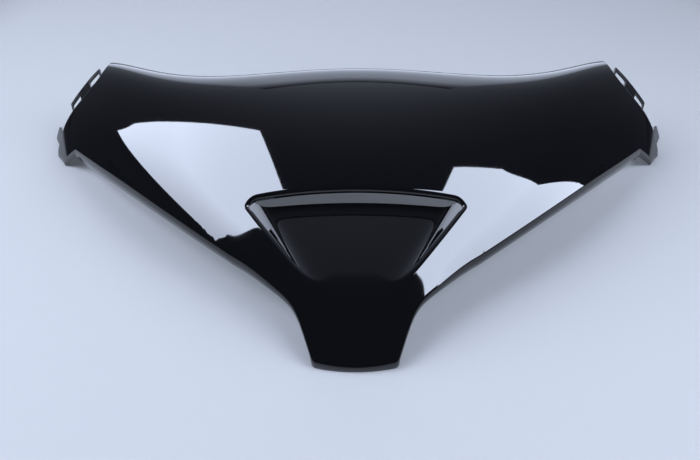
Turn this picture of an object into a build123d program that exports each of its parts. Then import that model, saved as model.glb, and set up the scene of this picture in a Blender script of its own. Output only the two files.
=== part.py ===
"""Front fairing panel of a scooter, moulded in one piece, lying as it comes to rest on a flat surface.

The outer skin is a crowned sheet: a curved profile from the stem up to the top edge, arched from side to side,
turned down along the lower edges and rolled over along the top. Sections of the wall across that sheet are
lofted, and the loft is trimmed to the panel's outline. Lengths are in millimetres, +Z is up, +Y points from the
stem to the top edge and the panel is symmetric about the YZ plane.
"""
from build123d import *
import os
from math import cos, radians, sin, sqrt, tan

# Wall and overall layout
WALL = 2.5               # moulded wall thickness
DEPTH = 323.6            # stem front to the rearmost top corner, in plan
FRONT = -DEPTH / 2       # plan position of the stem's front edge

# Crowned skin
STEM_EDGE = 6.0          # height of the skin along the stem's front edge
STEM_SLOPE = 41.6        # steepness of the stem, degrees
PROFILE_RADIUS = 394.0   # curvature of the centre profile
ARCH_RADIUS = 333.0      # curvature from side to side, at the stem
ARCH_FADE = 500.0        # distance behind the stem at which the arch would be flat
END_DROOP = 22.0         # extra drop of the wing ends
DROOP_SPAN = 292.0       # half span at which the ends have that drop

# Lower edge of the wings, as distance behind the stem front
LOWER_START = 22.6       # the edge's line carried to the centre
LOWER_SLOPE = 0.445      # its slope there
LOWER_BEND = 0.00121     # how it bends back towards the ends
FLANK_DROP = 11.0        # how far the skin turns down at this edge
FLANK_WIDTH = 45.0       # width of the turned-down flank
FLANK_START = 40.0       # half width at which the flank begins
FLANK_FULL = 100.0       # half width at which it has its full drop

# Rolled top edge
TOP_LINE = 222.5         # stem front to the roll's line, on the centre
TOP_SWEEP = (19.6, 135.9, -63.1)   # how the line sweeps back: terms in (x / TOP_SPAN) squared, to the 4th, 6th
TOP_SPAN = 240.0
ROLL_SLOPE = 58.0        # slope of the skin behind the roll, degrees
ROLL_SIZE = 30.0         # softness of the roll
TOP_LIP = 9.0            # from the roll's line to the cut edge, in plan

# Outline of the stem, wing tips and ends, as (half width, distance behind the stem front)
STEM_BOW = 3.9           # bow of the stem's front edge
STEM_CORNER = 31.5       # half width of the stem at its front
STEM_ROUND = 5.0         # round of the stem's front corners
STEM_NECK = (38.8, 20.7)
STEM_THROAT = (46.5, 35.0)
STEM_BEND = (61.0, 49.3)
WING_START = 93.0        # half width where the lower edge takes over from the stem
NOTCH = 277.0            # half width of the notch at the end of the lower edge
NOTCH_ROUND = 7.0
TIP = (299.5, 252.5)     # point of the wing tip, which rests on the ground
TIP_ROUND = 2.5
LOBE = (316.0, 274.0)    # outermost corner
LOBE_ROUND = 4.0
END_EDGE = ((300.5, 277.5), (281.0, 283.0), (261.0, 292.5))   # end of the wing, from the lobe up
END_TOP = 248.0          # half width at which the end meets the top edge
END_ROUND = 5.0
EDGE_LIP = 4.0           # depth of the turned-in lip along the lower edges
STEM_FLANGE = 8.0        # how far the stem's front flange runs back along its sides

# Frame of the tabs on an end: a plane across the end's edge, at its middle
END_POINT = (287.0, 279.0, 46.5)   # half width, distance behind the stem front, height
END_YAW = 45.5           # direction the end faces in plan, degrees from +X
END_TILT = 15.4          # and upwards
END_RAKE = 53.4          # fall of the end's edge, degrees below level

# Slotted tab and tongue on each end, along the end's edge from its middle (down is positive)
TAB_STEP = 1.5           # how far the tabs sit below the outer skin
TAB_WALL = 2.0
TAB_REACH = 17.0         # how far the slotted tab stands out of the end
TAB_SPAN = (-47.0, 0.0)
SLOTS = ((-45.0, -31.5), (-15.5, -2.0))
SLOT_BAR = 4.5           # bar left outside the slots
SLOT_ROOT = 1.2          # the slots start this far out of the end
TONGUE_REACH = 19.0
TONGUE_SPAN = (29.0, 45.0)
TAB_ROOT = 11.0          # how far the tabs run in under the skin

# Intake scoop: a ramp with sloping sides, let into the skin
SCOOP_START = 45.0       # where the ramp leaves the skin, behind the stem front
SCOOP_END = 116.0        # rear edge of the ramp, under the lip
SCOOP_LIP = 108.0        # lip over the slot
RAMP_SLOPE = 0.305       # rise of the ramp
RAMP_ARCH = 480.0        # curvature of its floor from side to side
RAMP_START_HALF = 33.0   # half width of the ramp's floor where it starts
RAMP_END_HALF = 75.0     # and at its rear edge
SIDE_SLOPE = 43.0        # steepness of the scoop's sides, degrees
RAMP_FILLET = 8.0        # round between floor and sides
WINDOW_HALF = 98.0       # half width of the opening's outer limit at the lip
WINDOW_TAPER = 0.87      # how fast that narrows towards the stem
WINDOW_CORNER = 10.0     # round of its upper corners
RIM_DEPTH = 4.0          # depth of the turned-in rim
RIM_WALL = 2.4

# Screw bosses behind the notches
BOSS_AT = (260.5, 232.5)
BOSS_RADIUS = 4.0
BOSS_FOOT = 16.0         # height of the boss's free end
PILOT_RADIUS = 1.6
PILOT_DEPTH = 12.0

# Loft stations across the panel, and points along each section
HALF_REACH = 310.0       # half width to which the loft is made, before its spare
STATIONS = 35
CROWDING = 0.25          # how much closer the stations stand towards the ends
SKIN_POINTS = 12         # from the front to the roll
ROLL_POINTS = 8          # over the roll
ROLL_LENGTH = 36.0       # plan length of the roll in front of its line
SPARE = 14.0             # how far the wall's loft runs out past the outline
INSIDE = 1.0             # depth at which added solids start inside the wall


def lower_edge(x):
    """Plan line of the wings' lower edge."""
    return FRONT + LOWER_START + LOWER_SLOPE * abs(x) + LOWER_BEND * x * x


def top_line(x):
    """Plan line along which the top rolls over."""
    q = (x / TOP_SPAN) ** 2
    return FRONT + TOP_LINE + TOP_SWEEP[0] * q + TOP_SWEEP[1] * q**2 + TOP_SWEEP[2] * q**3


def crown(x, y):
    """Height of the skin before its top is rolled over."""
    back = y - FRONT
    profile = STEM_EDGE + tan(radians(STEM_SLOPE)) * back - back * back / (2 * PROFILE_RADIUS)
    arch = x * x / (2 * ARCH_RADIUS) * (1 - (back / ARCH_FADE) ** 2)
    droop = END_DROOP * (x / DROOP_SPAN) ** 4
    near = 1 - (y - lower_edge(x)) / FLANK_WIDTH
    turn = 3 * near - 2 if near > 1 else max(near, 0) ** 3
    side = min(max((abs(x) - FLANK_START) / (FLANK_FULL - FLANK_START), 0), 1)
    return profile - arch - droop - FLANK_DROP * turn * side * side * (3 - 2 * side)


def skin(x, y):
    """Height of the outer skin at a plan point."""
    flat = crown(x, y)
    behind = crown(x, top_line(x)) - tan(radians(ROLL_SLOPE)) * (y - top_line(x))
    return (flat + behind - sqrt((flat - behind) ** 2 + ROLL_SIZE**2)) / 2


def section(x, depth, spare):
    """Points of the section at x, a given depth inside the skin and square to it, front to back."""
    front = min(FRONT + max(abs(x) - STEM_NECK[0], 0), FRONT + TIP[1]) - spare
    roll = top_line(x) - ROLL_LENGTH
    back = top_line(x) + TOP_LIP + spare
    plan = [front + (roll - front) * index / SKIN_POINTS for index in range(SKIN_POINTS)]
    plan += [roll + (back - roll) * index / (ROLL_POINTS - 1) for index in range(ROLL_POINTS)]
    points = []
    for y in plan:
        step = 0.01
        rise_x = (skin(x + step, y) - skin(x - step, y)) / (2 * step)
        rise_y = (skin(x, y + step) - skin(x, y - step)) / (2 * step)
        drop = depth * sqrt(1 + rise_x**2 + rise_y**2) / (1 + rise_y**2)
        points.append((y + drop * rise_y, skin(x, y) - drop))
    return points


def layer(outer, inner=None, spare=SPARE):
    """The solid between two depths inside the skin, or from one depth to a level well below the panel."""
    with BuildPart() as solid:
        for index in range(STATIONS):
            place = 2 * index / (STATIONS - 1) - 1
            x = (HALF_REACH + spare) * place * (1 + CROWDING - CROWDING * place**2)
            with BuildSketch(Plane.YZ.offset(x)):
                with BuildLine():
                    upper = Spline(*section(x, outer, spare))
                    if inner is None:
                        front = (upper @ 0).X, -HALF_REACH
                        back = (upper @ 1).X, -HALF_REACH
                        Polyline(upper @ 0, front, back, upper @ 1)
                    else:
                        under = Spline(*section(x, inner, spare))
                        Line(upper @ 0, under @ 0)
                        Line(upper @ 1, under @ 1)
                make_face()
        loft()
    return solid.part


def plan_outline(inset=0.0, spare=0.0):
    """Face of the outline in plan: the lower edges can be set in, and the ends and top carried out."""

    def edge(point, slope):
        size = sqrt(1 + slope**2)
        return point[0] - inset * slope / size, FRONT + point[1] + inset / size

    wing_slope = LOWER_SLOPE + 2 * LOWER_BEND * WING_START
    notch_slope = LOWER_SLOPE + 2 * LOWER_BEND * NOTCH
    middle = (WING_START + NOTCH) / 2
    wing_back = lower_edge(WING_START) - FRONT
    front = (0, FRONT + inset)
    corner = edge((STEM_CORNER, STEM_BOW), 1)
    neck = edge(STEM_NECK, 2.2)
    throat = edge(STEM_THROAT, 1.3)
    bend = edge(STEM_BEND, 0.85)
    wing = edge((WING_START, wing_back), wing_slope)
    pull = edge((middle, wing_back + wing_slope * (middle - WING_START)), (wing_slope + notch_slope) / 2)
    notch = edge((NOTCH, lower_edge(NOTCH) - FRONT), notch_slope)
    tip = edge(TIP, 1)
    lobe = (LOBE[0] + spare, FRONT + LOBE[1] + 1.43 * spare)
    end = [(half + spare, FRONT + back + 1.43 * spare) for half, back in END_EDGE]
    tops = [(x, top_line(x) + TOP_LIP + spare) for x in (END_TOP, 200.0, 150.0, 100.0, 50.0, 0.0)]
    bow = corner[1] - front[1]
    with BuildSketch() as plan:
        with BuildLine():
            RadiusArc(front, corner, -(corner[0] ** 2 + bow**2) / (2 * bow))
            Spline(corner, neck, throat, bend, wing, tangents=((1, 2.2), (1, wing_slope)))
            Bezier(wing, pull, notch)
            Polyline(notch, tip, lobe)
            Spline(lobe, *end, tops[0])
            Spline(*tops)
            Line(tops[-1], front)
        make_face()
        rounds = ((corner, STEM_ROUND), (notch, NOTCH_ROUND), (tip, TIP_ROUND), (lobe, LOBE_ROUND), (tops[0], END_ROUND))
        for spot, radius in rounds:
            fillet(plan.vertices().sort_by_distance((*spot, 0))[0], radius)
        mirror(about=Plane.YZ)
    return plan.face()


def trough(start, end, wall):
    """Solid of the scoop between two plan lines, with its sides carried up through the skin."""
    with BuildPart() as solid:
        for y in (start, end):
            share = (y - FRONT - SCOOP_START) / (SCOOP_END - SCOOP_START)
            half = RAMP_START_HALF + (RAMP_END_HALF - RAMP_START_HALF) * share
            half += wall * tan(radians(SIDE_SLOPE / 2))
            level = crown(0, FRONT + SCOOP_START) + RAMP_SLOPE * (y - FRONT - SCOOP_START) - wall
            edge = level - half * half / (2 * RAMP_ARCH)
            rise = half
            out = half + rise / tan(radians(SIDE_SLOPE))
            with BuildSketch(Plane.XZ.offset(-y)) as across:
                with BuildLine():
                    ThreePointArc((-half, edge), (0, level), (half, edge))
                    Polyline((half, edge), (out, edge + rise), (-out, edge + rise), (-half, edge))
                make_face()
                fillet(across.vertices().sort_by(Axis.Y)[:2], RAMP_FILLET + wall)
        loft(ruled=True)
    return solid.part


ramp_front = FRONT + SCOOP_START - SPARE
ramp_back = FRONT + SCOOP_END
lip_line = FRONT + SCOOP_LIP
end_facing = radians(END_YAW)
end_out = (cos(radians(END_TILT)) * cos(end_facing), cos(radians(END_TILT)) * sin(end_facing), sin(radians(END_TILT)))
end_at = (END_POINT[0], FRONT + END_POINT[1], END_POINT[2])
end_level = Vector(sin(end_facing), -cos(end_facing), 0)
end_plane = Plane(end_at, x_dir=end_level.rotate(Axis((0, 0, 0), end_out), END_RAKE), z_dir=end_out)
panel_face = plan_outline()
inner_face = plan_outline(WALL, 2 * SPARE)

# Turned-in lip along the lower edges, and the deeper flange across the stem
with BuildPart() as lip:
    add(layer(INSIDE, EDGE_LIP, SPARE + 2))
    with BuildSketch(Plane.XY.offset(-HALF_REACH)):
        add(inner_face)
    extrude(amount=2 * HALF_REACH, mode=Mode.SUBTRACT)

with BuildPart() as flange:
    add(layer(INSIDE))
    with BuildSketch(Plane.XY.offset(-HALF_REACH)):
        with Locations((0, FRONT)):
            Rectangle(2 * STEM_NECK[0], 2 * STEM_FLANGE)
    extrude(amount=2 * HALF_REACH, mode=Mode.INTERSECT)
    with BuildSketch(Plane.XY.offset(-HALF_REACH)):
        add(inner_face)
    extrude(amount=2 * HALF_REACH, mode=Mode.SUBTRACT)

# Scoop: the opening in the skin, the pan below it and the turned-in rim along the lip
with BuildSketch() as window:
    near = WINDOW_HALF - WINDOW_TAPER * (lip_line - ramp_front)
    Polygon((-WINDOW_HALF, lip_line), (-near, ramp_front), (near, ramp_front), (WINDOW_HALF, lip_line), align=None)
    fillet(window.vertices().group_by(Axis.Y)[-1], WINDOW_CORNER)

with BuildPart() as opening:
    add(trough(ramp_front, ramp_back + SPARE, 0))
    extrude(window.sketch, amount=HALF_REACH, mode=Mode.INTERSECT)

with BuildPart() as slot:
    add(trough(ramp_front, ramp_back + SPARE, 0))
    add(layer(RIM_DEPTH), mode=Mode.INTERSECT)

with BuildPart() as pan:
    add(trough(ramp_front, ramp_back, WALL))
    add(layer(INSIDE), mode=Mode.INTERSECT)

with BuildPart() as rim:
    add(layer(INSIDE, RIM_DEPTH))
    with BuildSketch():
        add(offset(window.face(), RIM_WALL))
        with Locations((0, lip_line)):
            Rectangle(2 * HALF_REACH, 2.5 * WINDOW_CORNER, mode=Mode.INTERSECT)
    extrude(amount=HALF_REACH, mode=Mode.INTERSECT)

# Tabs and tongues on the ends
with BuildPart() as tabs:
    for (first, last), reach in ((TAB_SPAN, TAB_REACH), (TONGUE_SPAN, TONGUE_REACH)):
        with BuildSketch(end_plane.offset(-TAB_ROOT)):
            with Locations(((first + last) / 2, 0)):
                Rectangle(last - first, 2 * (TAB_SPAN[1] - TAB_SPAN[0]))
        extrude(amount=TAB_ROOT + reach)
    for first, last in SLOTS:
        with BuildSketch(end_plane.offset(SLOT_ROOT)):
            with Locations(((first + last) / 2, 0)):
                Rectangle(last - first, 4 * (TAB_SPAN[1] - TAB_SPAN[0]))
        extrude(amount=TAB_REACH - SLOT_BAR - SLOT_ROOT, mode=Mode.SUBTRACT)
    mirror(about=Plane.YZ)
    add(layer(TAB_STEP, TAB_STEP + TAB_WALL), mode=Mode.INTERSECT)

# Screw bosses under the wing ends
boss_at = (BOSS_AT[0], FRONT + BOSS_AT[1])
with BuildPart() as bosses:
    with BuildSketch(Plane.XY.offset(BOSS_FOOT)):
        with Locations(boss_at, (-boss_at[0], boss_at[1])):
            Circle(BOSS_RADIUS)
    extrude(amount=HALF_REACH)
    add(layer(INSIDE), mode=Mode.INTERSECT)

# The moulded panel
with BuildPart() as fairing_panel:
    add(layer(0, WALL))
    add(lip.part)
    add(flange.part)
    add(pan.part)
    add(rim.part)
    add(opening.part, mode=Mode.SUBTRACT)
    add(slot.part, mode=Mode.SUBTRACT)
    with BuildSketch(Plane.XY.offset(-HALF_REACH)):
        add(panel_face)
    extrude(amount=2 * HALF_REACH, mode=Mode.INTERSECT)
    split(bisect_by=Plane.XY, keep=Keep.TOP)
    add(tabs.part)
    add(bosses.part)
    with BuildSketch(Plane.XY.offset(BOSS_FOOT)):
        with Locations(boss_at, (-boss_at[0], boss_at[1])):
            Circle(PILOT_RADIUS)
    extrude(amount=PILOT_DEPTH, mode=Mode.SUBTRACT)
fairing_panel.part.label = "fairing_panel"

os.makedirs("parts", exist_ok=True)
export_step(fairing_panel.part, "parts/fairing_panel.step")
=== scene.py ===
# %% [markdown]
# # Front fairing panel of a scooter
# One injection moulding of gloss black ABS, about 636 mm across: a crowned skin with two swept wings, a
# short stem with a ramped intake scoop above it, a rolled top edge and slotted tabs on the ends. It lies
# on a pale floor as it would on a packing table. The CAD node is the fixed frame; its facets would break
# up the mirror-like reflections, so the same wall is built here from the same rule as a fine smooth mesh.

# %% Load the CAD frame
from types import SimpleNamespace

import bmesh
import bpy
import numpy as np
from mathutils import Matrix, Vector
from mathutils.geometry import delaunay_2d_cdt


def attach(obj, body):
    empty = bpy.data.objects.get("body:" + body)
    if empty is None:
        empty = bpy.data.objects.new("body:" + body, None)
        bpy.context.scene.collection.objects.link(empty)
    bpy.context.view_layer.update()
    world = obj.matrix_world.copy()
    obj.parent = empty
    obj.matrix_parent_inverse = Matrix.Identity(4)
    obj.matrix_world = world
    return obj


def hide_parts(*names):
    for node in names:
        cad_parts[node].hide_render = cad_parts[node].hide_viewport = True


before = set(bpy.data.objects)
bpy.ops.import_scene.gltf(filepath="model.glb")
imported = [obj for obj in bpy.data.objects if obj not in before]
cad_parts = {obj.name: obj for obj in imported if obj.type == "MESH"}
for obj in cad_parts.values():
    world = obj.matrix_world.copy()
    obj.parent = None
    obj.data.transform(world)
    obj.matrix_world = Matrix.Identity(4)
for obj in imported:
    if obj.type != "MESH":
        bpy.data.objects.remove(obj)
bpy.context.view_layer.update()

# %% [markdown]
# ## The rule of the skin
# A toolmaker would describe this skin as a profile from the stem to the top, arched from side to side,
# with drooping ends, a flank that turns down along each lower edge and a roll along the top. The heights
# follow from a few lengths, all in millimetres. The rule is written once, in plain arithmetic, so that it
# works on numbers while the outline is drawn and on Geometry Nodes fields when the drawing is lifted.

# %% Values of the rule
RULE = {
    "front": -161.8,          # plan position of the stem's front edge
    "stem_edge": 6.0,         # height of the skin there
    "stem_rise": 0.8878,      # its slope there, a tangent
    "profile_radius": 394.0,
    "arch_radius": 333.0,     # from side to side
    "arch_fade": 500.0,       # how far back the arch would be flat
    "end_droop": 22.0,
    "droop_span": 292.0,
    "lower_start": 22.6,      # lower edge of the wings: start, slope and bend
    "lower_slope": 0.445,
    "lower_bend": 0.00121,
    "flank_drop": 11.0,       # how far the flank turns down, and over which width
    "flank_width": 45.0,
    "flank_hold": 1.0,        # share of that width after which it runs on straight
    "flank_start": 40.0,      # half widths between which it sets in
    "flank_full": 100.0,
    "top_line": 222.5,        # line of the roll along the top, and its sweep
    "sweep_2": 19.6,
    "sweep_4": 135.9,
    "sweep_6": -63.1,
    "top_span": 240.0,
    "roll_rise": 1.6003,      # slope behind the roll, a tangent
    "roll_size": 30.0,
}
v = SimpleNamespace(**RULE)
WALL = 2.5
STEP = 0.25               # plan step over which slopes are taken
print("values of the rule:", len(RULE))


# %% A number that a node tree works out
def add_node(tree, kind, **settings):
    """Adds one node to a tree and sets its properties."""
    node = tree.nodes.new(kind)
    for name, value in settings.items():
        setattr(node, name, value)
    return node


class Field:
    """A number that a node tree works out at each point; sums written with it become Math nodes."""

    def __init__(self, tree, socket):
        self.tree, self.socket = tree, socket

    def __abs__(self):
        return maths("ABSOLUTE", self)


def maths(operation, *terms):
    """One Math node whose terms are numbers or fields."""
    tree = next(term.tree for term in terms if isinstance(term, Field))
    node = add_node(tree, "ShaderNodeMath", operation=operation)
    for socket, term in zip(node.inputs, terms):
        if isinstance(term, Field):
            tree.links.new(term.socket, socket)
        else:
            socket.default_value = term
    return Field(tree, node.outputs[0])


for sign, name in {"add": "ADD", "sub": "SUBTRACT", "mul": "MULTIPLY", "truediv": "DIVIDE"}.items():
    setattr(Field, f"__{sign}__", lambda self, other, name=name: maths(name, self, other))
    setattr(Field, f"__r{sign}__", lambda self, other, name=name: maths(name, other, self))


def larger(a, b):
    return maths("MAXIMUM", a, b) if isinstance(a, Field) else np.maximum(a, b)


def smaller(a, b):
    return maths("MINIMUM", a, b) if isinstance(a, Field) else np.minimum(a, b)


def root(a):
    return maths("SQRT", a) if isinstance(a, Field) else np.sqrt(a)


# %% The rule itself
def lower_edge(x, v):
    """Plan line of the wings' lower edge."""
    return v.front + v.lower_start + v.lower_slope * abs(x) + v.lower_bend * x * x


def top_line(x, v):
    """Plan line along which the top rolls over."""
    q = x * x / (v.top_span * v.top_span)
    return v.front + v.top_line + q * (v.sweep_2 + q * (v.sweep_4 + q * v.sweep_6))


def crown(x, y, v):
    """Height of the skin before its top is rolled over."""
    back = y - v.front
    profile = v.stem_edge + v.stem_rise * back - back * back / (2 * v.profile_radius)
    arch = x * x / (2 * v.arch_radius) * (1 - back * back / (v.arch_fade * v.arch_fade))
    end = x * x / (v.droop_span * v.droop_span)
    near = 1 - (y - lower_edge(x, v)) / v.flank_width
    hold = v.flank_hold
    within = smaller(larger(near, 0.0), hold)
    turn = within * within * within + 3 * hold * hold * larger(near - hold, 0.0)
    side = smaller(larger((abs(x) - v.flank_start) / (v.flank_full - v.flank_start), 0.0), 1.0)
    return profile - arch - v.end_droop * end * end - v.flank_drop * turn * side * side * (3 - 2 * side)


def skin(x, y, v):
    """Height of the outer skin at a plan point."""
    flat = crown(x, y, v)
    line = top_line(x, v)
    behind = crown(x, line, v) - v.roll_rise * (y - line)
    gap = flat - behind
    return (flat + behind - root(gap * gap + v.roll_size * v.roll_size)) / 2


def lifted(x, y, depth, drop, v):
    """Where a point of the flat drawing goes: its depth is square to the skin, its drop straight down."""
    rise_x = (skin(x + STEP, y, v) - skin(x - STEP, y, v)) / (2 * STEP)
    rise_y = (skin(x, y + STEP, v) - skin(x, y - STEP, v)) / (2 * STEP)
    size = root(rise_x * rise_x + rise_y * rise_y + 1)
    height = larger(skin(x, y, v) - depth / size - drop, 0.0)
    return x + depth * rise_x / size, y + depth * rise_y / size, height


print("top of the skin, mm:", round(float(max(skin(0.0, np.arange(0.0, 70.0), v))), 1))

# %% [markdown]
# ## The outline in plan
# The moulding is trimmed by the tool's split line, which runs round the stem, along the two lower edges
# to a notch, round the pointed wing tips that rest on the ground, up the ends and along the rolled top.
# It is drawn as half an outline from a handful of points, its corners are rounded and it is mirrored.

# %% Lines in plan
OUTLINE_STEP = 1.3        # spacing of the outline's points
SPAN_STEPS = 24           # points on each span of a smooth curve
CORNER_STEPS = 9          # points round a corner
STEM_CORNER = (31.5, 3.9)
STEM_WAY = (1.0, 2.2)     # direction in which the stem's side leaves it
STEM_SIDE = ((38.8, 20.7), (46.5, 35.0), (61.0, 49.3))
WING_START = 93.0
NOTCH = 277.0
TIP = (299.5, 252.5)
LOBE = (316.0, 274.0)
END_EDGE = ((300.5, 277.5), (281.0, 283.0), (261.0, 292.5))
END_TOP = 248.0
TOP_LIP = 9.0
CORNERS = (5.0, 0.0, 7.0, 2.5, 4.0, 10.5)   # rounds, from the stem's corner to the top


def smooth_line(knots, start=None, end=None):
    """Close points on a smooth curve through the knots, with free ends or given end directions."""
    p = np.array(knots, float)
    h = np.hypot(*np.diff(p, axis=0).T)
    a, b = np.zeros((len(p), len(p))), np.zeros_like(p)
    for i in range(1, len(p) - 1):
        a[i, i - 1 : i + 2] = 1 / h[i - 1], 2 / h[i - 1] + 2 / h[i], 1 / h[i]
        b[i] = 3 * (p[i] - p[i - 1]) / h[i - 1] ** 2 + 3 * (p[i + 1] - p[i]) / h[i] ** 2
    for i, j, given in ((0, 1, start), (-1, -2, end)):
        a[i, i], a[i, j] = (2, 1) if given is None else (1, 0)
        b[i] = 3 * (p[j] - p[i]) / (h[i] * (j - i)) if given is None else given / np.hypot(*given)
    m = np.linalg.solve(a, b)
    t = np.linspace(0, 1, SPAN_STEPS, endpoint=False)[:, None]
    spans = [
        (1 + 2 * t) * (1 - t) ** 2 * p[i] + t * (1 - t) ** 2 * h[i] * m[i]
        + t * t * (3 - 2 * t) * p[i + 1] + t * t * (t - 1) * h[i] * m[i + 1]
        for i in range(len(p) - 1)
    ]
    return np.vstack([*spans, p[-1:]])


def trimmed(line, length):
    """A line without its first millimetres."""
    run = np.append(0, np.cumsum(np.hypot(*np.diff(line, axis=0).T)))
    at = np.append(length, run[run > length + 1e-6])
    return np.column_stack([np.interp(at, run, line[:, k]) for k in (0, 1)])


def rounded_chain(lines, radii):
    """Lines that meet end to end, with their corners rounded."""
    lines = [np.array(line, float) for line in lines]
    chain = []
    for i, radius in enumerate(radii):
        into, out = lines[i][-1] - lines[i][-2], lines[i + 1][1] - lines[i + 1][0]
        turn = np.arccos(np.clip(into @ out / np.hypot(*into) / np.hypot(*out), -1, 1))
        length, corner = radius * np.tan(turn / 2), lines[i][-1]
        if length > 0.05:
            lines[i] = trimmed(lines[i][::-1], length)[::-1]
            lines[i + 1] = trimmed(lines[i + 1], length)
        t = np.linspace(0, 1, CORNER_STEPS)[1:-1, None]
        a, b = lines[i][-1], lines[i + 1][0]
        chain += [lines[i], (1 - t) ** 2 * a + 2 * t * (1 - t) * corner + t * t * b]
    return np.vstack([*chain, lines[-1]])


def even_ring(line, step):
    """A closed line as points at an even spacing."""
    line = np.vstack([line, line[:1]])
    run = np.append(0, np.cumsum(np.hypot(*np.diff(line, axis=0).T)))
    at = np.linspace(0, run[-1], int(run[-1] / step), endpoint=False)
    return np.column_stack([np.interp(at, run, line[:, k]) for k in (0, 1)])


def outward(ring):
    """Plan directions square to a ring that runs with its material on the left."""
    along = np.roll(ring, -1, axis=0) - np.roll(ring, 1, axis=0)
    return np.column_stack([along[:, 1], -along[:, 0]]) / np.hypot(*along.T)[:, None]


# %% The panel's outline
wing_x = np.linspace(WING_START, NOTCH, 60)
wing_slope = v.lower_slope + 2 * v.lower_bend * WING_START
bow = np.linspace(0, STEM_CORNER[0], 20)
top_x = np.linspace(END_TOP, 0, 90)
wing = np.column_stack([wing_x, lower_edge(wing_x, v) - v.front])
top = np.column_stack([top_x, top_line(top_x, v) - v.front + TOP_LIP])
half = rounded_chain(
    [
        np.column_stack([bow, STEM_CORNER[1] * (bow / STEM_CORNER[0]) ** 2]),
        smooth_line([STEM_CORNER, *STEM_SIDE, wing[0]], np.array(STEM_WAY), np.array((1, wing_slope))),
        wing,
        [wing[-1], TIP],
        [TIP, LOBE],
        smooth_line([LOBE, *END_EDGE, top[0]]),
        top,
    ],
    CORNERS,
)
outline = even_ring(np.vstack([half, half[-2:0:-1] * (-1, 1)]) + (0, v.front), OUTLINE_STEP)
print("outline:", len(outline), "points,", outline.min(0).round(1), "to", outline.max(0).round(1))

# %% [markdown]
# ## The scoop's opening
# The scoop is a ramp with sloping sides let into the skin: its floor rises more slowly than the skin, so
# the opening widens towards the slot under the turned lip. Its edge lies where the ramp meets the skin,
# and along the lip it follows a line with rounded corners. The edge is found along rays from a point
# inside the scoop.

# %% Ramp and opening
SCOOP_START, SCOOP_END, SCOOP_LIP = 45.0, 116.0, 108.0
RAMP_RISE, RAMP_ARCH = 0.305, 480.0
RAMP_START_HALF, RAMP_END_HALF = 33.0, 75.0
SIDE_RISE = 0.9325        # slope of the scoop's sides, a tangent
FLOOR_ROUND = 5.0         # softness between floor and sides
FLOOR_SINK = FLOOR_ROUND**2 / 160   # how far that softness would lift the middle of the floor
SCOOP_INSIDE = 88.0       # a place inside the scoop, from the stem's front
FAR_OUT = 160.0           # further than the opening's edge from there
OPENING_STEP = 1.4        # spacing of the opening's points
HALVINGS = 40             # steps that find a meeting line
WINDOW_HALF, WINDOW_TAPER, WINDOW_CORNER = 98.0, 0.87, 10.0


def ramp(x, y, rise=RAMP_RISE):
    """Height of the scoop's floor and sides."""
    along = y - v.front - SCOOP_START
    half = RAMP_START_HALF + (RAMP_END_HALF - RAMP_START_HALF) * along / (SCOOP_END - SCOOP_START)
    level = crown(0.0, v.front + SCOOP_START, v) + rise * along
    floor = level - x * x / (2 * RAMP_ARCH)
    side = level - half * half / (2 * RAMP_ARCH) + SIDE_RISE * (np.abs(x) - half)
    return (floor + side + np.sqrt((floor - side) ** 2 + FLOOR_ROUND**2)) / 2 - FLOOR_SINK


def in_window(x, y):
    """Whether a point is inside the opening's limit, with its rounded upper corners."""
    lip, slant = v.front + SCOOP_LIP, np.hypot(1, WINDOW_TAPER)
    centre = WINDOW_HALF - WINDOW_CORNER * (slant + WINDOW_TAPER), lip - WINDOW_CORNER
    past = np.abs(x) - centre[0]
    beyond = past - WINDOW_TAPER * (y - centre[1])
    near = np.hypot(past, y - centre[1]) < WINDOW_CORNER
    straight = (y < lip) & (beyond < WINDOW_CORNER * slant)
    return straight & (near | (past < 0) | (y - centre[1] < -WINDOW_CORNER * WINDOW_TAPER / slant))


angles = np.linspace(0, -2 * np.pi, 720, endpoint=False)
inside_y = v.front + SCOOP_INSIDE
inner, outer = np.zeros(len(angles)), np.full(len(angles), FAR_OUT)
for _ in range(HALVINGS):
    reach = (inner + outer) / 2
    x, y = reach * np.cos(angles), inside_y + reach * np.sin(angles)
    open_here = (ramp(x, y) < skin(x, y, v)) & in_window(x, y)
    inner, outer = np.where(open_here, reach, inner), np.where(open_here, outer, reach)
hole = even_ring(np.column_stack([inner * np.cos(angles), inside_y + inner * np.sin(angles)]), OPENING_STEP)
on_ramp = (np.abs(ramp(*hole.T) - skin(*hole.T, v)) < 0.3) & (hole[:, 1] < v.front + SCOOP_LIP - 0.5)
print("opening:", len(hole), "points, half width", hole[:, 0].max().round(1), "on the ramp", on_ramp.sum())

# %% [markdown]
# ## The moulding drawn flat
# Every part of the wall that follows the skin is first drawn flat: a point has its place in plan, a depth
# below the skin and, for what hangs straight down, a drop. The skin is filled with small triangles
# between the outline and the opening. The edges of a moulding are never sharp, so each edge is carried
# round in a few rows of points to the inner side, where the lower edges have a deeper turned-in lip and
# the stem a flange that stands on the ground.

# %% Points and faces of the drawing
points, faces, hidden = [], [], []
GRID = 3.5                # spacing of the points that fill the skin
ROW_SHARE = 0.866         # distance of their rows, for triangles with equal sides
RIM_CLEAR = 0.55          # share of the spacing that they keep from an edge


def put(x, y, depth=0.0, drop=0.0):
    """Adds points to the drawing and returns their numbers."""
    first = len(points)
    points.extend(np.column_stack([np.ravel(a) for a in np.broadcast_arrays(x, y, depth, drop)]).tolist())
    return np.arange(first, len(points))


def strip(upper, lower, inside=False):
    """Faces between two closed rows of points."""
    a, b = np.append(upper, upper[0]), np.append(lower, lower[0])
    quads = np.column_stack([a[:-1], b[:-1], b[1:], a[1:]]).tolist()
    faces.extend(quads)
    hidden.extend([inside] * len(quads))


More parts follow.
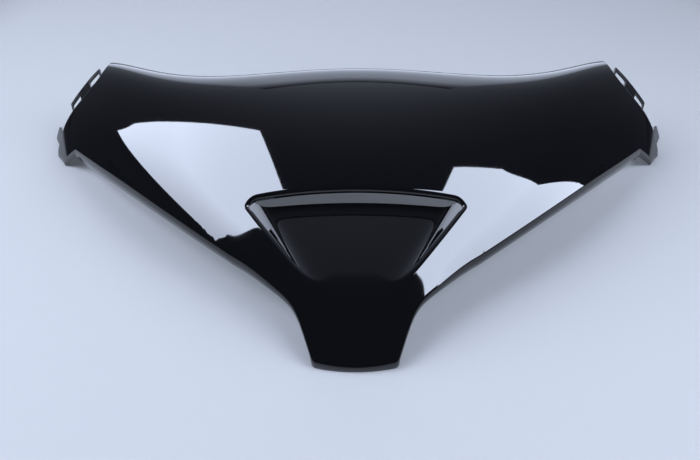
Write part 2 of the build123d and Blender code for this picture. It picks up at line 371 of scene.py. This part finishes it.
def within(ring, x, y):
    """Whether plan points lie inside a closed line."""
    inside = np.zeros(np.shape(x), bool)
    for (ax, ay), (bx, by) in zip(ring, np.roll(ring, -1, axis=0)):
        if ay != by:
            inside ^= ((ay > y) != (by > y)) & (x < (bx - ax) * (y - ay) / (by - ay) + ax)
    return inside


def fill(rows, step, depth=0.0, drop=None, inside=False):
    """Fills the plan with triangles, inside the first row of points and outside the others."""
    rings = [np.array([points[i][:2] for i in row]) for row in rows]
    low, high = rings[0].min(0), rings[0].max(0)
    gx, gy = np.meshgrid(np.arange(low[0], high[0], step), np.arange(low[1], high[1], step * ROW_SHARE))
    gx[1::2] += step / 2
    gx, gy = gx.ravel(), gy.ravel()
    keep = within(rings[0], gx, gy)
    for ring in rings[1:]:
        keep &= ~within(ring, gx, gy)
    gx, gy = gx[keep], gy[keep]
    rim = np.vstack(rings)
    clear = [np.hypot(rim[:, 0] - x, rim[:, 1] - y).min() > RIM_CLEAR * step for x, y in zip(gx, gy)]
    gx, gy = gx[clear], gy[clear]
    numbers = np.concatenate([*rows, put(gx, gy, depth, 0.0 if drop is None else drop(gx, gy))])
    flat = [Vector(points[i][:2]) for i in numbers]
    edges, first = [], 0
    for row in rows:
        edges += [(first + i, first + (i + 1) % len(row)) for i in range(len(row))]
        first += len(row)
    made, _, triangles, source, _, _ = delaunay_2d_cdt(flat, edges, [], 0, 1e-7)
    corners = np.array([[source[i][0] for i in t] for t in triangles])
    place = np.array([points[i][:2] for i in numbers])[corners]
    middle = place.mean(axis=1)
    keep = within(rings[0], *middle.T)
    for ring in rings[1:]:
        keep &= ~within(ring, *middle.T)
    a, b, c = place[:, 0], place[:, 1], place[:, 2]
    turned = np.cross(b - a, c - a) < 0
    corners[turned] = corners[turned][:, ::-1]
    if inside:
        corners = corners[:, ::-1]
    faces.extend(numbers[corners[keep]].tolist())
    hidden.extend([inside] * int(keep.sum()))
    return len(flat) == len(made)


# %% Wall of the panel
EDGE_ROUND = 1.7          # round of the outer edges
EDGE_DRAFT = 0.2          # how far their faces lean in, to leave the tool
EDGE_FOOT = ((0.0, 0.4), (0.12, 0.12), (0.4, 0.0))   # small round at their foot: inwards, upwards
RIM_ROUND = 2.6           # larger round of the scoop's edge
FOOT_ROUND = 11.0         # and where the ramp leaves the stem
FOOT_HALF, FOOT_EASE = 30.0, 16.0   # half width of that, and the width over which it sets in
TURN = np.linspace(0, 1, 5)   # steps round an edge
LOWER_LIP = 4.0           # depth of the turned-in lip along the lower edges
LIP_BACK = 45.0           # how far back it runs round the stem
LIP_NEAR = 4.0            # outline points this near the lower edge's line have it
LIP_EASE = 15             # points over which it runs out
RIM_DEPTH = 4.0           # depth of the lip over the scoop's slot
RIM_WALL = 2.4            # wall of the turned edges
STEM_FLANGE = 8.0         # how far back the stem's edge stands on the ground
RIM_EASE = 4              # points over which the scoop's edge changes from lip to ramp


def soft_step(a):
    a = np.clip(a, 0, 1)
    return a * a * (3 - 2 * a)


def evened(ring, reach):
    """Numbers round a ring, each averaged with its neighbours on both sides."""
    share = np.ones(2 * reach + 1) / (2 * reach + 1)
    return np.convolve(np.r_[ring[-reach:], ring, ring[:reach]], share, "valid")


def steepness(x, y):
    """Length of the skin's upright wall section for each millimetre of wall."""
    rise_x = (skin(x + STEP, y, v) - skin(x - STEP, y, v)) / (2 * STEP)
    rise_y = (skin(x, y + STEP, v) - skin(x, y - STEP, v)) / (2 * STEP)
    return np.sqrt(1 + rise_x**2 + rise_y**2)


def edge_rows(ring, low, ground=None, over=None, draft=0.0):
    """Carries an edge round and down; low is its depth, ground is 1 where it stands on the floor."""
    n, r = outward(ring), EDGE_ROUND
    ground = np.zeros(len(ring)) if ground is None else ground
    tall = steepness(*ring.T)
    rows = []
    for t in TURN:
        at = ring - n * r * (1 - t) ** 2
        rows.append(put(*at.T, 0.0, r * t * t * np.sqrt(tall)) if over is None else put(*over(t)))
    for inset, up in (*EDGE_FOOT, (RIM_WALL - 0.5 - draft, 0.0)):
        at = ring - (draft + inset) * n
        rows.append(put(*at.T, 0.0, (low * tall - up) * (1 - ground) + (skin(*at.T, v) - up) * ground))
    rows.append(put(*(ring - RIM_WALL * n).T, WALL))
    for i, (a, b) in enumerate(zip(rows, rows[1:])):
        strip(a, b, i >= len(TURN) + len(EDGE_FOOT) - 1)
    return rows


back = outline[:, 1] - v.front
lower = outline[:, 1] < np.maximum(lower_edge(outline[:, 0], v) + LIP_NEAR, v.front + LIP_BACK)
lower &= np.abs(outline[:, 0]) < NOTCH
depth = evened(np.where(lower, LOWER_LIP, WALL), LIP_EASE)
standing = ((back < STEM_FLANGE) & (np.abs(outline[:, 0]) < STEM_SIDE[0][0])).astype(float)
panel_rows = edge_rows(outline, depth, standing, draft=EDGE_DRAFT)

blend = evened(on_ramp.astype(float), RIM_EASE)
hole_out = outward(hole)
at_foot = soft_step((FOOT_HALF - np.abs(hole[:, 0])) / FOOT_EASE) * (hole_out[:, 1] > 0.8)
rim_round = RIM_ROUND + (FOOT_ROUND - RIM_ROUND) * at_foot
rim_foot = hole + hole_out * (rim_round * blend)[:, None]


def over_rim(t):
    """Round of the opening's edge: from the skin down the ramp's side, or over the lip."""
    at = hole * (1 - t * t) + rim_foot * t * t - hole_out * (rim_round * (1 - t) ** 2)[:, None]
    sunk = np.maximum(skin(*rim_foot.T, v) - ramp(*rim_foot.T), 0)
    return at[:, 0], at[:, 1], 0.0, t * t * (blend * sunk + (1 - blend) * rim_round)


hole_rows = edge_rows(hole, WALL + (RIM_DEPTH - WALL) * (1 - blend), over=over_rim)
print("skin filled:", fill([panel_rows[0], hole_rows[0]], GRID))
print("inner side filled:", fill([panel_rows[-1], hole_rows[-1]], 2 * GRID, depth=WALL, inside=True))
print("drawn so far:", len(points), "points,", len(faces), "faces")

# %% [markdown]
# ## The scoop's pan
# The pan is the ramp itself, moulded with the skin: its floor and sides are joined to the rounded edge of
# the opening, and behind the lip they run on below the skin to the rear edge of the slot, which is open
# to the hollow behind.

# %% Pan of the scoop
PAN_WALL = 1.25 * WALL    # upright, on the slope of the ramp
PAN_GRID = 3.0
SIDE_GAP = 1.5            # from the pan's sides up to the skin, behind the lip
SIDE_NEAR, SIDE_FAR = 40.0, 130.0   # half widths between which those sides end
TAIL_STEPS, REAR_STEPS = 12, 60     # points along them and along the rear edge
TAIL_START = 2.0          # where they start behind the rim
ALL_RAMP = 0.999          # blend from which the scoop's edge is wholly on the ramp


def sink(x, y):
    """How far the ramp lies below the skin."""
    return skin(x, y, v) - ramp(x, y)


def sink_below(x, y):
    """The same for the pan's underside."""
    return sink(x, y) + PAN_WALL


lip_side = np.flatnonzero(blend > ALL_RAMP)
start = lip_side[np.argmax(np.diff(np.r_[lip_side, lip_side[0] + len(hole)]))]
order = [i % len(hole) for i in range(start, start - len(hole), -1) if blend[i % len(hole)] > ALL_RAMP]
rim_row = hole_rows[len(TURN) - 1][order]
tail_y = np.linspace(hole[order[-1]][1] + TAIL_START, v.front + SCOOP_END, TAIL_STEPS)
inner, outer = np.full(TAIL_STEPS, SIDE_NEAR), np.full(TAIL_STEPS, SIDE_FAR)
for _ in range(HALVINGS):
    reach = (inner + outer) / 2
    sunk = sink(reach, tail_y) > SIDE_GAP
    inner, outer = np.where(sunk, reach, inner), np.where(sunk, outer, reach)
turn_sign = np.sign(hole[order[-1]][0])
rear_x = turn_sign * np.linspace(inner[-1], -inner[-1], REAR_STEPS)[1:-1]
tail = np.vstack([
    np.column_stack([turn_sign * inner, tail_y]),
    np.column_stack([rear_x, np.full(len(rear_x), v.front + SCOOP_END)]),
    np.column_stack([-turn_sign * inner, tail_y])[::-1],
])
pan_row = np.concatenate([rim_row, put(*tail.T, 0.0, sink(*tail.T))])
pan_ring = np.array([points[i] for i in pan_row])
under_row = put(*pan_ring[:, :2].T, 0.0, sink_below(*pan_ring[:, :2].T))
strip(pan_row, under_row, True)
pan_first = len(points)
print("pan filled:", fill([pan_row], PAN_GRID, drop=sink))
pan_last = len(points)
print("its underside:", fill([under_row], 2 * PAN_GRID, drop=sink_below, inside=True))

# %% [markdown]
# ## Tabs and bosses
# On each end a slotted tab and a small tongue step down from the skin and reach out under the
# neighbouring side panel, whose hooks snap into the slots. They follow the skin 1.5 mm below it, so they
# are drawn flat too, from their sizes on the plane of the end. Behind each notch a round boss hangs down
# for a self-tapping screw.

# %% Tabs on the ends
END_POINT = np.array((287.0, 279.0 + v.front, 46.5))
END_YAW, END_TILT, END_RAKE = np.radians((45.5, 15.4, 53.4))
END_AHEAD = np.array((np.cos(END_YAW), np.sin(END_YAW), 0.0))
END_LEVEL = np.array((np.sin(END_YAW), -np.cos(END_YAW), 0.0))
END_OUT = END_AHEAD * np.cos(END_TILT) + np.array((0.0, 0.0, np.sin(END_TILT)))
END_DOWN = END_LEVEL * np.cos(END_RAKE) + np.cross(END_OUT, END_LEVEL) * np.sin(END_RAKE)
TAB_STEP, TAB_WALL, TAB_ROOT = 1.5, 2.0, 11.0
TAB = (-47.0, 0.0, -TAB_ROOT, 17.0)                # from, to along the end; from, to out of it
TONGUE = (29.0, 45.0, -TAB_ROOT, 18.4)
SLOTS = ((-45.0, -31.5, 1.2, 12.5), (-15.5, -2.0, 1.2, 12.5))
TAB_CORNER, TONGUE_CORNER, SLOT_CORNER = 1.5, 2.5, 0.8
TAB_EDGE = ((0.35, 0.0), (0.1, 0.1), (0.0, 0.35), (0.0, TAB_WALL))   # rows of an edge: inwards, down
TAB_LINE = 0.9            # spacing of the points on a tab's edge
TAB_GRID, TAB_GRID_BELOW = 2.0, 3.0   # and of those that fill its two sides
TRIES, NUDGE, LONGEST = 30, 0.1, 8.0  # steps of the search for a plan point


def on_end(s, t):
    """Plan points of places given along the end's edge and out of it, at the tabs' depth below the skin."""
    x, y = np.full(len(s), END_POINT[0]), np.full(len(s), END_POINT[1])

    def miss(x, y):
        p = np.column_stack(lifted(x, y, TAB_STEP, 0.0, v)) - END_POINT
        return p @ END_DOWN - s, p @ END_OUT - t

    for _ in range(TRIES):
        f, g = miss(x, y)
        fx, gx = (np.array(miss(x + NUDGE, y)) - (f, g)) / NUDGE
        fy, gy = (np.array(miss(x, y + NUDGE)) - (f, g)) / NUDGE
        size = fx * gy - fy * gx
        x = x + np.clip((fy * g - gy * f) / size, -LONGEST, LONGEST)
        y = y + np.clip((gx * f - fx * g) / size, -LONGEST, LONGEST)
    return np.column_stack([x, y])


def box_ring(box, corner):
    """A box on the end's plane as a closed line with rounded corners."""
    s0, s1, t0, t1 = box
    middle = ((s0 + s1) / 2, t0)
    path = [middle, (s1, t0), (s1, t1), (s0, t1), (s0, t0), middle]
    return even_ring(rounded_chain(list(zip(path, path[1:])), [corner] * 4), TAB_LINE)


def plate(ring, holes, side):
    """A plate below the skin, with holes through it."""
    tops, lows = [], []
    for k, line in enumerate([ring, *holes]):
        flat = on_end(*line.T) * (side, 1)
        area = np.cross(flat, np.roll(flat, -1, axis=0)).sum()
        flat = flat if (area > 0) == (k == 0) else flat[::-1]
        n = outward(flat)
        rows = [put(*(flat - inset * n).T, TAB_STEP + down) for inset, down in TAB_EDGE]
        for a, b in zip(rows, rows[1:]):
            strip(a, b)
        tops.append(rows[0])
        lows.append(rows[-1])
    fill(tops, TAB_GRID, depth=TAB_STEP)
    fill(lows, TAB_GRID_BELOW, depth=TAB_STEP + TAB_WALL, inside=True)


for side in (1, -1):
    plate(box_ring(TAB, TAB_CORNER), [box_ring(slot, SLOT_CORNER) for slot in SLOTS], side)
    plate(box_ring(TONGUE, TONGUE_CORNER), [], side)
print("with the tabs:", len(points), "points")

# %% Screw bosses
BOSS_AT, BOSS_RADIUS, BOSS_FOOT = (260.5, 232.5 + v.front), 4.0, 16.0
PILOT_RADIUS, PILOT_DEPTH = 1.6, 12.0
BOSS_EDGE, PILOT_EDGE = 0.3, 0.2
PILOT_END = BOSS_FOOT + PILOT_DEPTH
BOSS_ROOT = 2.0           # how far below the skin a boss starts, inside the wall
BOSS_STEPS = (            # radius and height, where none means the boss's root
    (BOSS_RADIUS, None),
    (BOSS_RADIUS, BOSS_FOOT + BOSS_EDGE),
    (BOSS_RADIUS - BOSS_EDGE, BOSS_FOOT),
    (PILOT_RADIUS + PILOT_EDGE, BOSS_FOOT),
    (PILOT_RADIUS, BOSS_FOOT + PILOT_EDGE),
    (PILOT_RADIUS, PILOT_END),
    (0.05, PILOT_END),
)
circle = np.linspace(0, 2 * np.pi, 48, endpoint=False)
for side in (1, -1):
    rows = []
    for radius, height in BOSS_STEPS:
        x = side * BOSS_AT[0] + radius * np.cos(circle)
        y = BOSS_AT[1] + radius * np.sin(circle)
        rows.append(put(x, y, 0.0, BOSS_ROOT if height is None else skin(x, y, v) - height))
    for a, b in zip(rows, rows[1:]):
        strip(a, b, True)
print("drawing:", len(points), "points,", len(faces), "faces")

# %% [markdown]
# ## Finishes
# The outside comes from a polished tool, so the black ABS mirrors the studio with only a breath of orange
# peel. The inner side comes off a spark-eroded core and is satin, so it looks a little greyer.

# %% Materials
def colour(code):
    """Linear colour of an sRGB hex code."""
    parts = [int(code[i : i + 2], 16) / 255 for i in (1, 3, 5)]
    return [c / 12.92 if c <= 0.04045 else ((c + 0.055) / 1.055) ** 2.4 for c in parts] + [1.0]


def plastic(name, code, roughness, grain_mm, grain_height_mm):
    """A moulded plastic with a fine surface grain, its sizes in millimetres."""
    material = bpy.data.materials.new(name)
    material.use_nodes = True
    tree = material.node_tree
    shader = tree.nodes["Principled BSDF"]
    shader.inputs["Base Color"].default_value = colour(code)
    shader.inputs["Roughness"].default_value = roughness
    shader.inputs["IOR"].default_value = 1.54
    place = add_node(tree, "ShaderNodeTexCoord")
    grain = add_node(tree, "ShaderNodeTexNoise", noise_dimensions="3D")
    grain.inputs["Scale"].default_value = 1000 / grain_mm
    grain.inputs["Detail"].default_value = 1.0
    bump = add_node(tree, "ShaderNodeBump")
    bump.inputs["Strength"].default_value = 1.0
    bump.inputs["Distance"].default_value = grain_height_mm / 1000
    tree.links.new(place.outputs["Object"], grain.inputs["Vector"])
    tree.links.new(grain.outputs["Fac"], bump.inputs["Height"])
    tree.links.new(bump.outputs["Normal"], shader.inputs["Normal"])
    return material


gloss = plastic("gloss_black_abs", "#050506", 0.03, 9.0, 0.004)   # outer side, faint orange peel
satin = plastic("satin_black_abs", "#15161a", 0.42, 0.8, 0.02)    # spark-eroded inner side
print("finishes:", [m.name for m in (gloss, satin)])

# %% [markdown]
# ## Lifting the drawing to the skin
# A Geometry Nodes tree holds the rule with its values as named inputs. It reads each flat point's place,
# depth and drop and sets it on the crowned skin, as the tool's cavity and core would, and gives both
# sides their finish.

# %% The tree
tree = bpy.data.node_groups.new("crowned_skin", "GeometryNodeTree")
tree.is_modifier = True
tree.interface.new_socket("Geometry", in_out="INPUT", socket_type="NodeSocketGeometry")
for name in RULE:
    tree.interface.new_socket(name, in_out="INPUT", socket_type="NodeSocketFloat")
tree.interface.new_socket("Geometry", in_out="OUTPUT", socket_type="NodeSocketGeometry")
inputs = add_node(tree, "NodeGroupInput")
named = SimpleNamespace(**{name: Field(tree, inputs.outputs[name]) for name in RULE})
spot = add_node(tree, "ShaderNodeSeparateXYZ")
tree.links.new(add_node(tree, "GeometryNodeInputPosition").outputs[0], spot.inputs[0])
drop_node = add_node(tree, "GeometryNodeInputNamedAttribute", data_type="FLOAT")
drop_node.inputs["Name"].default_value = "drop"
flat_x, flat_y, flat_z = (Field(tree, socket) for socket in spot.outputs)
place = lifted(flat_x, flat_y, 0 - flat_z, Field(tree, drop_node.outputs["Attribute"]), named)
joined = add_node(tree, "ShaderNodeCombineXYZ")
for socket, part in zip(joined.inputs, place):
    tree.links.new((part * 0.001).socket, socket)
move = add_node(tree, "GeometryNodeSetPosition")
realize = add_node(tree, "GeometryNodeRealizeInstances")
inside_node = add_node(tree, "GeometryNodeInputNamedAttribute", data_type="BOOLEAN")
inside_node.inputs["Name"].default_value = "inside"
outer_finish = add_node(tree, "GeometryNodeSetMaterial")
outer_finish.inputs["Material"].default_value = gloss
inner_finish = add_node(tree, "GeometryNodeSetMaterial")
inner_finish.inputs["Material"].default_value = satin
result = add_node(tree, "NodeGroupOutput")
tree.links.new(inputs.outputs["Geometry"], move.inputs["Geometry"])
tree.links.new(joined.outputs[0], move.inputs["Position"])
tree.links.new(move.outputs[0], realize.inputs[0])
tree.links.new(realize.outputs[0], outer_finish.inputs["Geometry"])
tree.links.new(outer_finish.outputs[0], inner_finish.inputs["Geometry"])
tree.links.new(inside_node.outputs["Attribute"], inner_finish.inputs["Selection"])
tree.links.new(inner_finish.outputs[0], result.inputs["Geometry"])
print("tree:", len(tree.nodes), "nodes")

# %% The moulding
flat_mesh = bpy.data.meshes.new("flat_drawing")
table = np.array(points)
flat_mesh.from_pydata((table[:, :3] * (1, 1, -1)).tolist(), [], faces)
flat_mesh.attributes.new("drop", "FLOAT", "POINT").data.foreach_set("value", table[:, 3].astype(np.float32))
flat_mesh.attributes.new("inside", "BOOLEAN", "FACE").data.foreach_set("value", np.array(hidden, bool))
flat_object = bpy.data.objects.new("flat_drawing", flat_mesh)
bpy.context.scene.collection.objects.link(flat_object)
modifier = flat_object.modifiers.new("lift", "NODES")
modifier.node_group = tree
for item in tree.interface.items_tree:
    if item.in_out == "INPUT" and item.name in RULE:
        modifier[item.identifier] = RULE[item.name]
depsgraph = bpy.context.evaluated_depsgraph_get()
mesh = bpy.data.meshes.new_from_object(flat_object.evaluated_get(depsgraph), depsgraph=depsgraph)
bpy.data.objects.remove(flat_object)
mesh.name = "fairing_panel_moulding"
mesh.shade_smooth()
print("lifted:", len(mesh.vertices), "points")

# %% [markdown]
# ## Shading directions
# Small triangles would show as ripples in a mirror finish, so on the skin, the tabs' upper sides, the
# ramp and its rounded edge the directions that the light meets come from the rule and not from the
# triangles. They differ from the mesh in two places, to match the look of the real panel: along the lower
# edges, most at the tips, they turn down less, so that these mirror the dark room and not the pale floor,
# and on the ramp they stand about 3 degrees steeper. No point of the mesh is moved by this.

# %% Directions from the rule
HOLD_MIDDLE, HOLD_TIP = 0.92, 0.10     # where the flank's bend stops for shading, as flank_hold
HOLD_FROM, HOLD_OVER = 190.0, 130.0    # half width at which that starts to change, and over which width
SHADED_RISE = 0.36                     # slope of the ramp for shading
normals = np.empty((len(mesh.vertices), 3), np.float32)
mesh.vertices.foreach_get("normal", normals.ravel())


def facing(height, x, y):
    """Directions square to a surface given by its height."""
    slope_x = (height(x + STEP, y) - height(x - STEP, y)) / (2 * STEP)
    slope_y = (height(x, y + STEP) - height(x, y - STEP)) / (2 * STEP)
    n = np.column_stack([-slope_x, -slope_y, np.ones_like(x)])
    return n / np.linalg.norm(n, axis=1)[:, None]


def shaded_skin(x, y):
    """The skin for shading, whose flank stops bending before the edge."""
    hold = HOLD_MIDDLE + (HOLD_TIP - HOLD_MIDDLE) * soft_step((np.abs(x) - HOLD_FROM) / HOLD_OVER)
    return skin(x, y, SimpleNamespace(**{**RULE, "flank_hold": hold}))


def shaded_ramp(x, y):
    """The ramp for shading."""
    return ramp(x, y, SHADED_RISE)


upper = (table[:, 2] == 0) | (table[:, 2] == TAB_STEP)   # skin and upper sides of the tabs
on_skin = upper & (table[:, 3] == 0)
in_pan = np.zeros(len(table), bool)
in_pan[pan_first:pan_last] = True
in_pan[pan_row] = True
normals[on_skin] = facing(shaded_skin, *table[on_skin, :2].T)
normals[in_pan] = facing(shaded_ramp, *table[in_pan, :2].T)
closed = blend > 0.5
for t, row in zip(TURN, hole_rows):
    mixed = (1 - t) * facing(shaded_skin, *hole[closed].T) + t * facing(shaded_ramp, *rim_foot[closed].T)
    normals[row[closed]] = mixed / np.linalg.norm(mixed, axis=1)[:, None]
mesh.normals_split_custom_set_from_vertices(normals.tolist())
print("directions from the rule:", on_skin.sum(), "on the skin and tabs,", in_pan.sum(), "on the ramp")

# %% In place of the CAD node
panel = bpy.data.objects.new("fairing_panel_moulding", mesh)
bpy.context.scene.collection.objects.link(panel)
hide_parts("fairing_panel")
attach(panel, "root")
print("moulding:", sum(len(p.vertices) - 2 for p in mesh.polygons), "triangles")

# %% [markdown]
# ## Floor, light and camera
# The panel lies on a matt studio floor between two tall softboxes; their mirror images are the broad pale
# shapes on the skin. The floor is pale around the panel and darkens outwards; that darkening is painted
# shade in the floor's colour, so the skin mirrors a dark surround. A dimmer, wide backdrop light behind the
# panel draws the light line along the rolled top edge. The ceiling is dim and the room behind the camera
# dark, as in a small studio.

# %% Floor
ROOM = 8.0                # half the size of the floor, in metres
PALE, FULL_SHADE_FROM = 0.54, 0.86   # how far out to the side it is pale, and from where it is dark
LENGTHWISE = 0.4          # weight of the distance to front and back, in the sum of squares


def staged(name, mesh, material):
    """Puts a mesh on the stage round the object."""
    mesh.materials.append(material)
    thing = bpy.data.objects.new(name, mesh)
    bpy.context.scene.collection.objects.link(thing)
    return thing


def place_fields(tree):
    """The three object coordinates of a material, as fields."""
    split = add_node(tree, "ShaderNodeSeparateXYZ")
    tree.links.new(add_node(tree, "ShaderNodeTexCoord").outputs["Object"], split.inputs[0])
    return [Field(tree, socket) for socket in split.outputs]


matt = bpy.data.materials.new("matt_studio_floor")
matt.use_nodes = True
tree, shader = matt.node_tree, matt.node_tree.nodes["Principled BSDF"]
floor_x, floor_y, _ = place_fields(tree)
# Painted shade: the floor's colour goes from pale near the panel to dark further out, by distance alone.
out = root(floor_x * floor_x + LENGTHWISE * floor_y * floor_y)
far = smaller(larger((out - PALE) / (FULL_SHADE_FROM - PALE), 0.0), 1.0)
shade = add_node(tree, "ShaderNodeMix", data_type="RGBA")
tree.links.new((far * far * (3 - 2 * far)).socket, shade.inputs["Factor"])
shade.inputs["A"].default_value = colour("#858584")
shade.inputs["B"].default_value = colour("#262627")
tree.links.new(shade.outputs["Result"], shader.inputs["Base Color"])
shader.inputs["Roughness"].default_value = 0.9
shader.inputs["Specular IOR Level"].default_value = 0.1
ground = bpy.data.meshes.new("studio_floor")
corners = ((-1, -1), (1, -1), (1, 1), (-1, 1))
ground.from_pydata([(ROOM * x, ROOM * y, 0) for x, y in corners], [], [(0, 1, 2, 3)])
staged("studio_floor", ground, matt)
print("floor: pale within", PALE, "m, dark from", FULL_SHADE_FROM, "m")


# %% Softboxes and backdrop light
LIGHT_TINT = "#dde8ff"
BOX_AWAY, BOX_LIGHT = 1.0, 16.5             # distance to the side in metres, and brightness
LEFT_BOX = (                                # corners as y and z in metres
    (-0.53, 0.40), (-0.48, 0.262), (0.40, 0.31), (0.43, 0.45), (0.30, 1.90), (-0.70, 2.62),
)
RIGHT_BOX = (
    (-0.575, 0.17), (0.06, 0.03), (-0.08, 0.45), (0.035, 1.05), (-0.09, 1.81), (-1.70, 3.05), (-0.60, 0.46),
)
BACKDROP_AWAY, BACKDROP_LIGHT = 1.9, 3.3
BACKDROP = ((-1.5, 0.03), (1.5, 0.03), (1.5, 3.1), (-1.5, 3.1))   # corners as x and z


def glowing(name):
    """A material that only gives light, with its tree and the socket of its brightness."""
    material = bpy.data.materials.new(name)
    material.use_nodes = True
    tree = material.node_tree
    glow = add_node(tree, "ShaderNodeEmission")
    glow.inputs["Color"].default_value = colour(LIGHT_TINT)
    tree.links.new(glow.outputs[0], tree.nodes["Material Output"].inputs["Surface"])
    return material, tree, glow.inputs["Strength"]


def light_panel(name, corners, brightness, low, high, sideways=0.0):
    """A flat glowing panel, seen in mirror images but not by the camera.

    Low and high are a height and the share of the brightness there; between them it changes evenly.
    Sideways is the share it loses a metre from the middle.
    """
    material, tree, strength = glowing(name)
    off, _, height = place_fields(tree)
    along = smaller(larger((height - low[0]) / (high[0] - low[0]), 0.0), 1.0)
    share = (low[1] + along * (high[1] - low[1])) * (1 - sideways * off * off * off * off)
    tree.links.new((share * brightness).socket, strength)
    mesh = bpy.data.meshes.new(name)
    mesh.from_pydata(corners, [], [range(len(corners))])
    staged(name, mesh, material).visible_camera = False


left_box = [(-BOX_AWAY, y, z) for y, z in LEFT_BOX]
right_box = [(BOX_AWAY, y, z) for y, z in RIGHT_BOX]
backdrop = [(x, BACKDROP_AWAY, z) for x, z in BACKDROP]
light_panel("softbox_left", left_box, BOX_LIGHT, (0.3, 0.65), (0.8, 1.0))
light_panel("softbox_right", right_box, BOX_LIGHT, (0.0, 0.75), (0.6, 1.0))
light_panel("backdrop_light", backdrop, BACKDROP_LIGHT, (2.2, 1.0), (3.1, 0.0), sideways=0.12)

# %% Dim room
GLOW_UP = np.radians(20)  # how high the middle of the glow behind the panel stands, as an angle
DOME = 9.0                # radius of the room's walls and ceiling, in metres
ROOM_DIM, ROOM_GLOW = 0.04, 2.2   # brightness of the walls, and of the middle of that glow
BACKGROUND = 0.06         # brightness of what the camera sees past the floor
walls, tree, strength = glowing("room_glow")
way_x, way_y, way_z = (part / DOME for part in place_fields(tree))
near = larger(way_y * np.cos(GLOW_UP) + way_z * np.sin(GLOW_UP), 0.0)
side = 1 - way_x * way_x
tree.links.new((ROOM_DIM + ROOM_GLOW * near * near * near * side * side).socket, strength)
ball = bmesh.new()
bmesh.ops.create_uvsphere(ball, u_segments=64, v_segments=32, radius=DOME)
dome = bpy.data.meshes.new("room_glow")
ball.to_mesh(dome)
ball.free()
staged("room_glow", dome, walls).visible_camera = False
world = bpy.data.worlds.new("dim_room")
bpy.context.scene.world = world
world.use_nodes = True
world.node_tree.nodes["Background"].inputs["Color"].default_value = colour(LIGHT_TINT)
world.node_tree.nodes["Background"].inputs["Strength"].default_value = BACKGROUND
print("room:", len(dome.polygons), "faces")

# %% Camera at the photo's angle
LENS_PX, WIDTH_PX = 640.0, 700.0
EYE = (2.11, v.front - 274.8, 394.4)        # in millimetres
yaw, pitch, roll = np.radians((-1.0, 42.55, -0.66))
ahead = Vector((np.sin(yaw) * np.cos(pitch), np.cos(yaw) * np.cos(pitch), -np.sin(pitch)))
level = Vector((np.cos(yaw), -np.sin(yaw), 0))
above = level.cross(ahead)
right = level * np.cos(roll) + above * np.sin(roll)
upward = above * np.cos(roll) - level * np.sin(roll)
eye = bpy.data.cameras.new("photo_camera")
eye.sensor_fit = "HORIZONTAL"
eye.sensor_width = 36.0
eye.lens = 36.0 * LENS_PX / WIDTH_PX
camera = bpy.data.objects.new("photo_camera", eye)
turn = Matrix((right, upward, -ahead)).transposed().to_4x4()
camera.matrix_world = Matrix.Translation(Vector(EYE) / 1000) @ turn
bpy.context.scene.collection.objects.link(camera)
bpy.context.scene.camera = camera
bpy.context.scene.view_settings.view_transform = "Standard"
